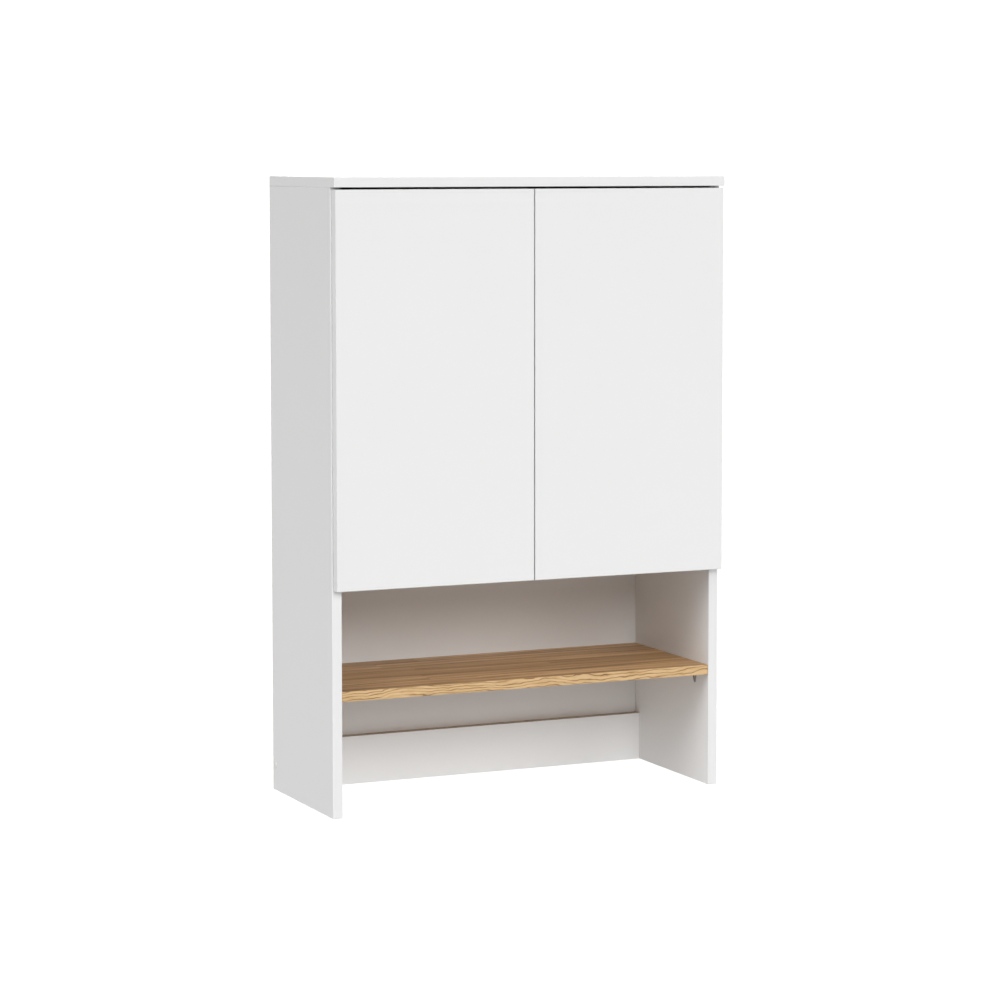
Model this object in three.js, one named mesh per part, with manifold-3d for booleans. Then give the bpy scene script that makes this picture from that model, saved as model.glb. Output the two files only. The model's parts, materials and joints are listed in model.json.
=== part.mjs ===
// A hanging wall cabinet: two handleless doors over an open niche with a loose oak-finish shelf.
// Units are millimetres. Inside the cabinet group, x runs from the left side's outer face, y from the
// front edges of the sides towards the wall, and z from the bottom edges of the sides. The group is
// then moved so that the origin is the bottom centre of the whole object's box.
import * as THREE from "three";
import { mergeVertices } from "three/addons/utils/BufferGeometryUtils.js";
import Module from "manifold-3d";

// ---------------------------------------------------------------- overall sizes
const WIDTH = 680;
const HEIGHT = 1004;
const CARCASS_DEPTH = 268;
const BOARD = 16;
const BACK_THICKNESS = 3;

// ---------------------------------------------------------------- doors
const DOOR_THICKNESS = 16;
const DOOR_HEIGHT = 624;
const DOOR_TOP_GAP = 3.4;
const DOOR_SIDE_INSET = 2;
const DOOR_CENTRE_GAP = 2;
const DOOR_BACK_GAP = 2;
const FINGER_GRIP = 20;

// ---------------------------------------------------------------- shelves, rail and back
const OAK_SHELF_TOP = 200;
const OAK_SHELF_SETBACK = 1;
const SHELF_END_GAP = 0.5;
const SHELF_BACK_GAP = 0.5;
const INNER_SHELF_SETBACK = 22;
const RAIL_HEIGHT = 80;
const BACK_MARGIN = 1;

// ---------------------------------------------------------------- fittings
const FIT = 0.3;
const SUPPORT_FRONT = 47;
const SUPPORT_REAR = 47;
const SUPPORT_WIDTH = 14;
const SUPPORT_TIP_WIDTH = 5;
const SUPPORT_LEDGE = 9;
const SUPPORT_DROP = 20;
const SUPPORT_GAUGE = 1.4;
const SUPPORT_GUSSET = 2.4;
const PIN_RADIUS = 2.5;
const PIN_IN_BOARD = 8;
const PIN_OUT = 8;
const CAM_RADIUS = 7.5;
const CAM_DEPTH = 12.5;
const CAM_SINK = 0.2;
const CAM_RECESS = 2.5;
const CAM_FROM_EDGE = 24;
const CAM_FROM_FRONT = 45;
const CAM_FROM_REAR = 80;
const CONFIRMAT_HEAD_RADIUS = 4.6;
const CONFIRMAT_HEAD_LENGTH = 5;
const CONFIRMAT_SHANK_RADIUS = 3.2;
const CONFIRMAT_LENGTH = 50;
const CAP_RADIUS = 6.5;
const CAP_THICKNESS = 0.5;
const BUMPER_RADIUS = 4;
const BUMPER_THICKNESS = 1.6;
const BUMPER_FROM_EDGE = 14;

// ---------------------------------------------------------------- wall hangers
const HANGER_WIDTH = 18;
const HANGER_DEPTH = 58;
const HANGER_HEIGHT = 40;
const HANGER_BELOW_TOP = 4;
const HANGER_WALL = 3;
const HOOK_GAUGE = 2.5;
const HOOK_WIDTH = 8;
const HOOK_TIP = 9;

// ---------------------------------------------------------------- concealed hinges
// Heights above the side's inner face are along x; setbacks are along y from its front edge; the cup's
// pins lie at a depth below the door's back.
const HINGE_FROM_DOOR_END = 80;
const CUP_RADIUS = 17.5;
const CUP_DEPTH = 13;
const CUP_EDGE_DISTANCE = 3;
const CUP_WALL = 0.9;
const FLANGE_THICKNESS = 1;
const FLANGE_RADIUS = 18.6;
const FLANGE_EAR_RADIUS = 5;
const FLANGE_EAR_OFFSET = 9.5;
const FLANGE_EAR_SPACING = 45;
const ARM_PIN_SETBACK = 13;
const OUTER_ARM_PIN_HEIGHT = 14.6;
const INNER_ARM_PIN_HEIGHT = 6.4;
const CUP_PIN_FROM_BORE = 3.2;
const OUTER_CUP_PIN_DEPTH = 4.3;
const INNER_CUP_PIN_DEPTH = 9.8;
const CUP_PIN_RADIUS = 0.75;
const ARM_PIN_RADIUS = 1;
const PIN_CLEARANCE = 0.25;
const OPEN_PIVOT_CLEARANCE = 1.6;
const OUTER_LINK_INSIDE = 2.6;
const OUTER_LINK_OUTSIDE = 4;
const INNER_LINK_HALF = 2.2;
const ARM_INSIDE = 5.2;
const ARM_OUTSIDE = 6.4;
const ARM_FRONT = 8;
const ARM_REAR = 62;
const ARM_GAP = 1.6;
const ARM_HEIGHT = 18.4;
const ARM_WEB_FRONT = 17;
const PLATE_THICKNESS = 2;
const PLATE_SCREW_SETBACK = 37;
const PLATE_SCREW_SPACING = 32;
const PLATE_WING_RADIUS = 6;
const PLATE_FRONT = 24;
const PLATE_REAR = 56;
const BOSS_HALF = 4.7;
const BOSS_HEIGHT = 15.5;

// ---------------------------------------------------------------- values worked out from the sizes above
const TOP_UNDERSIDE = HEIGHT - BOARD;
const INNER_RIGHT = WIDTH - BOARD;
const DOOR_TOP = TOP_UNDERSIDE - DOOR_TOP_GAP;
const DOOR_BOTTOM = DOOR_TOP - DOOR_HEIGHT;
const DOOR_BACK = -DOOR_BACK_GAP;
const DOOR_FRONT = DOOR_BACK - DOOR_THICKNESS;
const DOOR_WIDTH = (WIDTH - DOOR_CENTRE_GAP) / 2 - DOOR_SIDE_INSET;
const FLOOR_UNDERSIDE = DOOR_BOTTOM + FINGER_GRIP;
const FLOOR_TOP = FLOOR_UNDERSIDE + BOARD;
const OAK_SHELF_UNDERSIDE = OAK_SHELF_TOP - BOARD;
const INNER_SHELF_UNDERSIDE = (FLOOR_TOP + TOP_UNDERSIDE - BOARD) / 2;
const WALL_PLANE = CARCASS_DEPTH + BACK_THICKNESS;
const CUP_CENTRE = DOOR_SIDE_INSET + CUP_EDGE_DISTANCE + CUP_RADIUS;
const CUP_PIN_X = CUP_CENTRE - CUP_RADIUS + CUP_PIN_FROM_BORE;
const OUTER_LINK_ARM_PIN = [BOARD + OUTER_ARM_PIN_HEIGHT, ARM_PIN_SETBACK];
const OUTER_LINK_CUP_PIN = [CUP_PIN_X, DOOR_BACK - OUTER_CUP_PIN_DEPTH];
const INNER_LINK_ARM_PIN = [BOARD + INNER_ARM_PIN_HEIGHT, ARM_PIN_SETBACK];
const INNER_LINK_CUP_PIN = [CUP_PIN_X, DOOR_BACK - INNER_CUP_PIN_DEPTH];
const ARM_NEAR_SIDE = BOARD + ARM_GAP;
const ARM_TOP = BOARD + ARM_HEIGHT;
const BOSS_TOP = BOARD + BOSS_HEIGHT;
const HINGE_HEIGHTS = {
  lower: DOOR_BOTTOM + HINGE_FROM_DOOR_END,
  upper: DOOR_TOP - HINGE_FROM_DOOR_END,
};
const SIDES = ["left", "right"];

// ---------------------------------------------------------------- finishes
function finish(color, roughness, metalness = 0) {
  return new THREE.MeshStandardMaterial({ color, roughness, metalness });
}

const white = finish(0xf1f0ee, 0.55);
const oak = finish(0xb98a58, 0.6);
const hardboard = finish(0xd9d6d0, 0.7);
const nickel = finish(0xb9b7b2, 0.3, 1);
const zinc = finish(0xa6a6a4, 0.45, 1);
const steel = finish(0xc6c6c4, 0.35, 1);
const whitePlastic = finish(0xecebe7, 0.5);
const clearRubber = finish(0xd8d8d4, 0.6);

// ---------------------------------------------------------------- solids
const wasm = await Module();
wasm.setup();
const { Manifold } = wasm;

// A closed three.js geometry as a solid that can be cut and joined.
function solidOf(geometry) {
  const bare = geometry.clone();
  bare.deleteAttribute("normal");
  bare.deleteAttribute("uv");
  const merged = mergeVertices(bare, 1e-4);
  return new Manifold(
    new wasm.Mesh({
      numProp: 3,
      vertProperties: new Float32Array(merged.attributes.position.array),
      triVerts: new Uint32Array(merged.index.array),
    }),
  );
}

// A solid as a named three.js mesh.
function meshOf(name, solid, material) {
  const data = solid.getMesh();
  const geometry = new THREE.BufferGeometry();
  geometry.setAttribute("position", new THREE.BufferAttribute(new Float32Array(data.vertProperties), 3));
  geometry.setIndex(new THREE.BufferAttribute(new Uint32Array(data.triVerts), 1));
  geometry.computeVertexNormals();
  const mesh = new THREE.Mesh(geometry, material);
  mesh.name = name;
  return mesh;
}

// A box between two corners.
function box(low, high) {
  const size = high.map((value, i) => value - low[i]);
  const geometry = new THREE.BoxGeometry(...size);
  geometry.translate(...low.map((value, i) => value + size[i] / 2));
  return solidOf(geometry);
}

// A round bar along one axis, from one coordinate to another, centred on the other two in x, y, z order.
function bar(axis, from, to, centre, radius, segments = 16) {
  const geometry = new THREE.CylinderGeometry(radius, radius, Math.abs(to - from), segments);
  const middle = (from + to) / 2;
  if (axis === "x") {
    geometry.rotateZ(Math.PI / 2);
    geometry.translate(middle, centre[0], centre[1]);
  }
  if (axis === "y") {
    geometry.translate(centre[0], middle, centre[1]);
  }
  if (axis === "z") {
    geometry.rotateX(Math.PI / 2);
    geometry.translate(centre[0], centre[1], middle);
  }
  return solidOf(geometry);
}

// A flat strap that follows a list of [x, y, radius] stations, between two heights.
function strap(stations, low, high) {
  const discs = stations.map(([x, y, radius]) => bar("z", low, high, [x, y], radius, 12));
  const legs = discs.slice(1).map((disc, i) => Manifold.hull([discs[i], disc]));
  return Manifold.union(legs);
}

// An outline in x and y, raised between two heights.
function plate(points, low, high) {
  const shape = new THREE.Shape(points.map(([x, y]) => new THREE.Vector2(x, y)));
  const geometry = new THREE.ExtrudeGeometry(shape, { depth: high - low, bevelEnabled: false });
  geometry.translate(0, 0, low);
  return solidOf(geometry);
}

// What is drawn for the left side, mirrored where it is wanted on the right.
function onSide(side, solid) {
  return side === "left" ? solid : solid.mirror([1, 0, 0]).translate([WIDTH, 0, 0]);
}

// ---------------------------------------------------------------- places that boards and fittings share
const camPlaces = [CAM_FROM_FRONT, CARCASS_DEPTH - CAM_FROM_REAR];
const supportPlaces = { front: SUPPORT_FRONT, rear: CARCASS_DEPTH - SUPPORT_REAR };
const innerPinPlaces = {
  front: INNER_SHELF_SETBACK + SUPPORT_FRONT,
  rear: CARCASS_DEPTH - SUPPORT_REAR,
};
const oakPinHeight = OAK_SHELF_UNDERSIDE - SUPPORT_GAUGE - PIN_RADIUS - 1;
const innerPinHeight = INNER_SHELF_UNDERSIDE - PIN_RADIUS;
const topCamHeight = TOP_UNDERSIDE - CAM_FROM_EDGE;
const railScrew = [CARCASS_DEPTH - BOARD / 2, RAIL_HEIGHT / 2];
const hangerTop = TOP_UNDERSIDE - HANGER_BELOW_TOP;
const hangerBottom = hangerTop - HANGER_HEIGHT;
const hangerRear = CARCASS_DEPTH - FIT;
const hangerFront = hangerRear - HANGER_DEPTH;
const hookCentre = BOARD + HANGER_WIDTH / 2;
const hookLevel = hangerBottom + HANGER_HEIGHT / 2;

// ---------------------------------------------------------------- boards
function sidePanel(side) {
  const board = box([0, 0, 0], [BOARD, CARCASS_DEPTH, TOP_UNDERSIDE]);
  const cams = camPlaces.map((y) =>
    bar("x", BOARD - CAM_DEPTH - FIT, BOARD + 1, [y, topCamHeight], CAM_RADIUS + FIT, 20),
  );
  const pinHoles = [
    ...Object.values(supportPlaces).map((y) => [y, oakPinHeight]),
    ...Object.values(innerPinPlaces).map((y) => [y, innerPinHeight]),
  ].map((centre) => bar("x", BOARD - PIN_IN_BOARD - FIT, BOARD + 1, centre, PIN_RADIUS + FIT, 12));
  const screwHole = [
    bar("x", -1, CONFIRMAT_HEAD_LENGTH + FIT, railScrew, CONFIRMAT_HEAD_RADIUS + FIT),
    bar("x", 0, BOARD + 1, railScrew, CONFIRMAT_SHANK_RADIUS + FIT),
  ];
  const cut = board.subtract(Manifold.union([...cams, ...pinHoles, ...screwHole]));
  return meshOf(`side_${side}`, onSide(side, cut), white);
}

function topPanel() {
  const board = box([0, DOOR_FRONT, TOP_UNDERSIDE], [WIDTH, CARCASS_DEPTH, HEIGHT]);
  return meshOf("top_panel", board, white);
}

function cabinetFloor() {
  const board = box([BOARD, 0, FLOOR_UNDERSIDE], [INNER_RIGHT, CARCASS_DEPTH, FLOOR_TOP]);
  const holes = floorCamCentres().map((centre) =>
    bar("z", FLOOR_UNDERSIDE - 1, FLOOR_UNDERSIDE + CAM_DEPTH + FIT, centre, CAM_RADIUS + FIT, 20),
  );
  return meshOf("cabinet_floor", board.subtract(Manifold.union(holes)), white);
}

function rearRail() {
  const low = [BOARD, CARCASS_DEPTH - BOARD, 0];
  const board = box(low, [INNER_RIGHT, CARCASS_DEPTH, RAIL_HEIGHT]);
  const reach = CONFIRMAT_LENGTH + 2;
  const holes = [
    bar("x", 0, reach, railScrew, CONFIRMAT_SHANK_RADIUS + FIT),
    bar("x", WIDTH - reach, WIDTH, railScrew, CONFIRMAT_SHANK_RADIUS + FIT),
  ];
  return meshOf("rear_rail", board.subtract(Manifold.union(holes)), white);
}

function backBoard() {
  const low = [BACK_MARGIN, CARCASS_DEPTH, BACK_MARGIN];
  const board = box(low, [WIDTH - BACK_MARGIN, WALL_PLANE, HEIGHT - BACK_MARGIN]);
  const opening = box(
    [hookCentre - HOOK_WIDTH, CARCASS_DEPTH - 1, hookLevel - HANGER_HEIGHT / 2 + HANGER_WALL],
    [hookCentre + HOOK_WIDTH, WALL_PLANE + 1, hookLevel + HANGER_HEIGHT / 2 - HANGER_WALL],
  );
  const openings = SIDES.map((side) => onSide(side, opening));
  return meshOf("back_board", board.subtract(Manifold.union(openings)), hardboard);
}

function oakShelf() {
  const low = [BOARD + SHELF_END_GAP, OAK_SHELF_SETBACK, OAK_SHELF_UNDERSIDE];
  const high = [INNER_RIGHT - SHELF_END_GAP, CARCASS_DEPTH - SHELF_BACK_GAP, OAK_SHELF_TOP];
  return meshOf("oak_shelf", box(low, high), oak);
}

function innerShelf() {
  const low = [BOARD + SHELF_END_GAP, INNER_SHELF_SETBACK, INNER_SHELF_UNDERSIDE];
  const top = INNER_SHELF_UNDERSIDE + BOARD;
  const high = [INNER_RIGHT - SHELF_END_GAP, CARCASS_DEPTH - SHELF_BACK_GAP, top];
  return meshOf("inner_shelf", box(low, high), white);
}

// ---------------------------------------------------------------- doors
function door(side) {
  const edge = DOOR_SIDE_INSET;
  const board = box([edge, DOOR_FRONT, DOOR_BOTTOM], [edge + DOOR_WIDTH, DOOR_BACK, DOOR_TOP]);
  const bores = Object.values(HINGE_HEIGHTS).map((z) =>
    bar("y", DOOR_BACK - CUP_DEPTH, DOOR_BACK + 1, [CUP_CENTRE, z], CUP_RADIUS, 28),
  );
  return meshOf(`${side}_door`, onSide(side, board.subtract(Manifold.union(bores))), white);
}

function doorBumper(side) {
  const x = DOOR_SIDE_INSET + DOOR_WIDTH - BUMPER_FROM_EDGE;
  const z = FLOOR_UNDERSIDE + BOARD / 2;
  const disc = bar("y", DOOR_BACK, DOOR_BACK + BUMPER_THICKNESS, [x, z], BUMPER_RADIUS, 16);
  return meshOf(`${side}_door_bumper`, onSide(side, disc), clearRubber);
}

// ---------------------------------------------------------------- concealed hinges
function hingeCup(z) {
  const centre = [CUP_CENTRE, z];
  const outer = CUP_RADIUS - FIT;
  const bottom = DOOR_BACK - CUP_DEPTH + FIT;
  const top = DOOR_BACK + FLANGE_THICKNESS;
  const ears = [-1, 1].map((end) => {
    const ear = [CUP_CENTRE + FLANGE_EAR_OFFSET, z + (end * FLANGE_EAR_SPACING) / 2];
    return bar("y", DOOR_BACK, top, ear, FLANGE_EAR_RADIUS, 12);
  });
  const flange = Manifold.union([Manifold.hull(ears), bar("y", DOOR_BACK, top, centre, FLANGE_RADIUS, 28)]);
  const shell = Manifold.union([bar("y", bottom, top, centre, outer, 28), flange]);
  const hollow = bar("y", bottom + CUP_WALL, top + 1, centre, outer - CUP_WALL, 28);
  const pins = [
    bar("z", z - CUP_RADIUS, z + CUP_RADIUS, INNER_LINK_CUP_PIN, CUP_PIN_RADIUS, 10),
    bar("z", z + OUTER_LINK_INSIDE, z + CUP_RADIUS, OUTER_LINK_CUP_PIN, CUP_PIN_RADIUS, 10),
    bar("z", z - CUP_RADIUS, z - OUTER_LINK_INSIDE, OUTER_LINK_CUP_PIN, CUP_PIN_RADIUS, 10),
  ].map((pin) => pin.intersect(bar("y", bottom, top, centre, outer - CUP_WALL / 2, 28)));
  return Manifold.union([shell.subtract(hollow), ...pins]);
}

function outerLink(z) {
  const [armX, armY] = OUTER_LINK_ARM_PIN;
  const [cupX, cupY] = OUTER_LINK_CUP_PIN;
  const route = [
    [cupX, cupY, CUP_PIN_RADIUS + 0.6],
    [cupX + 6, cupY - 1.6, 1.2],
    [cupX + 9.4, cupY - 0.9, 1.6],
    [armX - 10.1, armY - 16, 1.9],
    [armX, armY, ARM_PIN_RADIUS + 1.4],
  ];
  const cheeks = [
    strap(route, z + OUTER_LINK_INSIDE, z + OUTER_LINK_OUTSIDE),
    strap(route, z - OUTER_LINK_OUTSIDE, z - OUTER_LINK_INSIDE),
  ];
  const web = strap(
    [
      [armX - 4.6, armY - 9.6, 0.9],
      [armX - 1.4, armY - 4.6, 0.9],
    ],
    z - OUTER_LINK_OUTSIDE,
    z + OUTER_LINK_OUTSIDE,
  );
  const reach = OUTER_LINK_OUTSIDE + 1;
  const holes = [
    bar("z", z - reach, z + reach, OUTER_LINK_ARM_PIN, ARM_PIN_RADIUS + PIN_CLEARANCE, 12),
    bar("z", z - reach, z + reach, OUTER_LINK_CUP_PIN, CUP_PIN_RADIUS + PIN_CLEARANCE, 12),
  ];
  return Manifold.union([...cheeks, web]).subtract(Manifold.union(holes));
}

function innerLink(z) {
  const [armX, armY] = INNER_LINK_ARM_PIN;
  const [cupX, cupY] = INNER_LINK_CUP_PIN;
  const eye = ARM_PIN_RADIUS + OPEN_PIVOT_CLEARANCE;
  const route = [
    [cupX, cupY, CUP_PIN_RADIUS + 0.75],
    [cupX + 5, cupY - 0.2, 1.1],
    [cupX + 12.1, cupY - 0.3, 1.2],
    [armX - 0.9, armY - 18, 1.2],
    [armX - 0.2, armY - 6, 1.5],
    [armX, armY, eye + 0.9],
  ];
  const body = strap(route, z - INNER_LINK_HALF, z + INNER_LINK_HALF);
  const reach = INNER_LINK_HALF + 1;
  const holes = [
    bar("z", z - reach, z + reach, INNER_LINK_ARM_PIN, eye, 14),
    bar("z", z - reach, z + reach, INNER_LINK_CUP_PIN, CUP_PIN_RADIUS + PIN_CLEARANCE, 12),
  ];
  return body.subtract(Manifold.union(holes));
}

function hingeArm(z) {
  const clearOfPlate = BOARD + PLATE_THICKNESS + FIT;
  const outline = [
    [ARM_NEAR_SIDE + 2, ARM_FRONT],
    [ARM_TOP - 4, ARM_FRONT],
    [ARM_TOP, ARM_FRONT + 5],
    [ARM_TOP, ARM_REAR - 8],
    [ARM_TOP - 5, ARM_REAR],
    [clearOfPlate + 1, ARM_REAR],
    [clearOfPlate + 1, PLATE_FRONT - 2],
    [ARM_NEAR_SIDE, PLATE_FRONT - 5],
    [ARM_NEAR_SIDE, ARM_FRONT + 2],
  ];
  const cheeks = [
    plate(outline, z + ARM_INSIDE, z + ARM_OUTSIDE),
    plate(outline, z - ARM_OUTSIDE, z - ARM_INSIDE),
  ];
  const gauge = ARM_OUTSIDE - ARM_INSIDE;
  const web = box(
    [ARM_TOP - gauge, ARM_WEB_FRONT, z - ARM_OUTSIDE],
    [ARM_TOP, ARM_REAR - 8, z + ARM_OUTSIDE],
  );
  const reach = (ARM_INSIDE + ARM_OUTSIDE) / 2;
  const pins = [OUTER_LINK_ARM_PIN, INNER_LINK_ARM_PIN].map((centre) =>
    bar("z", z - reach, z + reach, centre, ARM_PIN_RADIUS, 12),
  );
  return Manifold.union([...cheeks, web, ...pins]);
}

function mountingPlate(z) {
  const face = BOARD;
  const base = box(
    [face, PLATE_FRONT, z - ARM_INSIDE + FIT],
    [face + PLATE_THICKNESS, PLATE_REAR, z + ARM_INSIDE - FIT],
  );
  const wings = [-1, 1].map((end) => {
    const centre = [PLATE_SCREW_SETBACK, z + (end * PLATE_SCREW_SPACING) / 2];
    return bar("x", face, face + PLATE_THICKNESS, centre, PLATE_WING_RADIUS, 12);
  });
  const boss = box([face, PLATE_FRONT + 3, z - BOSS_HALF], [BOSS_TOP, PLATE_REAR, z + BOSS_HALF]);
  return Manifold.union([base, Manifold.hull(wings), boss]);
}

function hinge(side, level) {
  const z = HINGE_HEIGHTS[level];
  const pieces = {
    cup: hingeCup(z),
    outer_link: outerLink(z),
    inner_link: innerLink(z),
    arm: hingeArm(z),
    mounting_plate: mountingPlate(z),
  };
  return Object.entries(pieces).map(([piece, solid]) => {
    const material = piece === "mounting_plate" ? zinc : nickel;
    return meshOf(`${side}_${level}_hinge_${piece}`, onSide(side, solid), material);
  });
}

// ---------------------------------------------------------------- wall hangers
function hangerHousing(side) {
  const shell = box([BOARD, hangerFront, hangerBottom], [BOARD + HANGER_WIDTH, hangerRear, hangerTop]);
  const half = HOOK_WIDTH / 2 + FIT;
  const channel = box(
    [hookCentre - half, hangerFront + HANGER_WALL, hangerBottom + HANGER_WALL],
    [hookCentre + half, hangerRear + 1, hangerTop - HANGER_WALL],
  );
  return meshOf(`${side}_hanger_housing`, onSide(side, shell.subtract(channel)), whitePlastic);
}

function hangerHook(side) {
  const half = HOOK_WIDTH / 2;
  const tipRear = WALL_PLANE - FIT;
  const arm = box(
    [hookCentre - half, hangerFront + HANGER_WALL + FIT, hookLevel],
    [hookCentre + half, tipRear, hookLevel + HOOK_GAUGE],
  );
  const tip = box(
    [hookCentre - half, tipRear - HOOK_GAUGE, hookLevel - HOOK_TIP],
    [hookCentre + half, tipRear, hookLevel + 1],
  );
  const block = box(
    [hookCentre - half, hangerFront + HANGER_WALL + FIT, hookLevel - HOOK_TIP],
    [hookCentre + half, hangerRear - HANGER_DEPTH / 2, hookLevel + HOOK_TIP],
  );
  return meshOf(`${side}_hanger_hook`, onSide(side, Manifold.union([arm, tip, block])), zinc);
}

// ---------------------------------------------------------------- shelf supports and pins
function shelfSupport(side, place) {
  const y = supportPlaces[place];
  const half = SUPPORT_WIDTH / 2;
  const tip = SUPPORT_TIP_WIDTH / 2;
  const top = OAK_SHELF_UNDERSIDE;
  const bottom = top - SUPPORT_DROP;
  const face = BOARD;
  const upright = Manifold.hull([
    box([face, y - half, top - SUPPORT_GAUGE - PIN_RADIUS * 2], [face + SUPPORT_GAUGE, y + half, top]),
    box([face, y - tip, bottom], [face + SUPPORT_GAUGE, y + tip, top]),
  ]);
  const ledge = box([face, y - half, top - SUPPORT_GAUGE], [face + SUPPORT_LEDGE, y + half, top]);
  const gusset = Manifold.hull([
    box([face, y - SUPPORT_GUSSET / 2, bottom + 1], [face + SUPPORT_GAUGE, y + SUPPORT_GUSSET / 2, top]),
    box([face, y - SUPPORT_GUSSET / 2, top - 1], [face + SUPPORT_LEDGE - 1, y + SUPPORT_GUSSET / 2, top]),
  ]);
  const pin = bar("x", face - PIN_IN_BOARD, face + 1, [y, oakPinHeight], PIN_RADIUS, 12);
  const solid = Manifold.union([upright, ledge, gusset, pin]);
  return meshOf(`${side}_${place}_shelf_support`, onSide(side, solid), nickel);
}

function shelfPin(side, place) {
  const centre = [innerPinPlaces[place], innerPinHeight];
  const pin = bar("x", BOARD - PIN_IN_BOARD, BOARD + PIN_OUT, centre, PIN_RADIUS, 12);
  const collar = bar("x", BOARD, BOARD + 1, [centre[0], centre[1] - 1], PIN_RADIUS + 0.9, 12);
  return meshOf(`${side}_${place}_shelf_pin`, onSide(side, pin.add(collar)), nickel);
}

// ---------------------------------------------------------------- cams and rail screws
// The crosshead recess in a cam's visible end, between two coordinates along its axis.
function crossRecess(axis, low, high, centre) {
  const long = CAM_RADIUS * 0.6;
  const short = 1;
  const spans = [
    [long, short],
    [short, long],
  ];
  const arms = spans.map(([a, b]) =>
    axis === "x"
      ? box([low, centre[0] - a, centre[1] - b], [high, centre[0] + a, centre[1] + b])
      : box([centre[0] - a, centre[1] - b, low], [centre[0] + a, centre[1] + b, high]),
  );
  return Manifold.union(arms);
}

function topCam(side, place, y) {
  const centre = [y, topCamHeight];
  const disc = bar("x", BOARD - CAM_DEPTH, BOARD - CAM_SINK, centre, CAM_RADIUS, 20);
  const cam = disc.subtract(crossRecess("x", BOARD - CAM_SINK - CAM_RECESS, BOARD, centre));
  return meshOf(`${side}_${place}_top_cam`, onSide(side, cam), zinc);
}

function floorCamCentres() {
  return camPlaces.flatMap((y) => [
    [BOARD + CAM_FROM_EDGE, y],
    [INNER_RIGHT - CAM_FROM_EDGE, y],
  ]);
}

function floorCam(side, place, y) {
  const centre = [BOARD + CAM_FROM_EDGE, y];
  const low = FLOOR_UNDERSIDE + CAM_SINK;
  const disc = bar("z", low, FLOOR_UNDERSIDE + CAM_DEPTH, centre, CAM_RADIUS, 20);
  const cam = disc.subtract(crossRecess("z", FLOOR_UNDERSIDE, low + CAM_RECESS, centre));
  return meshOf(`${side}_${place}_floor_cam`, onSide(side, cam), zinc);
}

function railScrewPieces(side) {
  const head = bar("x", CAP_THICKNESS, CONFIRMAT_HEAD_LENGTH, railScrew, CONFIRMAT_HEAD_RADIUS, 16);
  const shank = bar("x", 1, CONFIRMAT_LENGTH, railScrew, CONFIRMAT_SHANK_RADIUS, 12);
  const cap = bar("x", -CAP_THICKNESS, 0, railScrew, CAP_RADIUS, 20);
  return [
    meshOf(`${side}_rail_screw`, onSide(side, head.add(shank)), steel),
    meshOf(`${side}_rail_screw_cap`, onSide(side, cap), whitePlastic),
  ];
}

// ---------------------------------------------------------------- the cabinet
const cabinet = new THREE.Group();
cabinet.add(topPanel(), cabinetFloor(), rearRail(), backBoard(), oakShelf(), innerShelf());
for (const side of SIDES) {
  cabinet.add(sidePanel(side), door(side), doorBumper(side));
  cabinet.add(...hinge(side, "upper"), ...hinge(side, "lower"));
  cabinet.add(hangerHousing(side), hangerHook(side));
  cabinet.add(...railScrewPieces(side));
  for (const [i, place] of ["front", "rear"].entries()) {
    cabinet.add(shelfSupport(side, place), shelfPin(side, place));
    cabinet.add(topCam(side, place, camPlaces[i]), floorCam(side, place, camPlaces[i]));
  }
}
cabinet.position.set(-WIDTH / 2, -(DOOR_FRONT + WALL_PLANE) / 2, 0);

const root = new THREE.Group();
root.add(cabinet);

export default root;
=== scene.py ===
# %% [markdown]
# # A hanging wall cabinet, finished in Blender
# The cabinet's boards, hinges and fittings come from the packed model, which fixes every size and every
# joint. This lesson gives them their finishes, adds the small hardware that holds them together, and sets
# up a plain studio. Nothing here moves or resizes a board, because the doors have to swing exactly as the
# model says.

# %% Load the cabinet
import json
import math
import random

import bmesh
import bpy
from mathutils import Matrix, Vector


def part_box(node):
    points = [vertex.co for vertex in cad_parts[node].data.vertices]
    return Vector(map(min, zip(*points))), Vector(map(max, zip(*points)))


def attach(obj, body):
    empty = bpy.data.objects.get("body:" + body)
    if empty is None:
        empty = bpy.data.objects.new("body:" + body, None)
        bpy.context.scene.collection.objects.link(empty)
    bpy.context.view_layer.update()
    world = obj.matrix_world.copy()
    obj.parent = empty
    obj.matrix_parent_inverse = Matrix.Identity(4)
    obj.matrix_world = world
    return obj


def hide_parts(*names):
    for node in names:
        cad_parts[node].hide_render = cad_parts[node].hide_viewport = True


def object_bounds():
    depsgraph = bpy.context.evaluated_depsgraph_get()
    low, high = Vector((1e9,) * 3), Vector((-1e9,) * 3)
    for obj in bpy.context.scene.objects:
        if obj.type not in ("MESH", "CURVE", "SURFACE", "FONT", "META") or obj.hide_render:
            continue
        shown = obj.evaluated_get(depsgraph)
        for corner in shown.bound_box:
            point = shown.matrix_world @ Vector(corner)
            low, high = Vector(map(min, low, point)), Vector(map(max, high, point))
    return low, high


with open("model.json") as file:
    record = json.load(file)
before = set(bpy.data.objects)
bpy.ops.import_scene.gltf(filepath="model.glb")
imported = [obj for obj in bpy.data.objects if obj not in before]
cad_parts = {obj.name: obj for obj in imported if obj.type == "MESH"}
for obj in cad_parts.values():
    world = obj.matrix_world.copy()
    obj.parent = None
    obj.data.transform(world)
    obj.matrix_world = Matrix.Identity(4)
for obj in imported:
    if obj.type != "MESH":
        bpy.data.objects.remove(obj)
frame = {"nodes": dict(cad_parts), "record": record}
model_box = [list(corner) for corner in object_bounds()]

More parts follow.
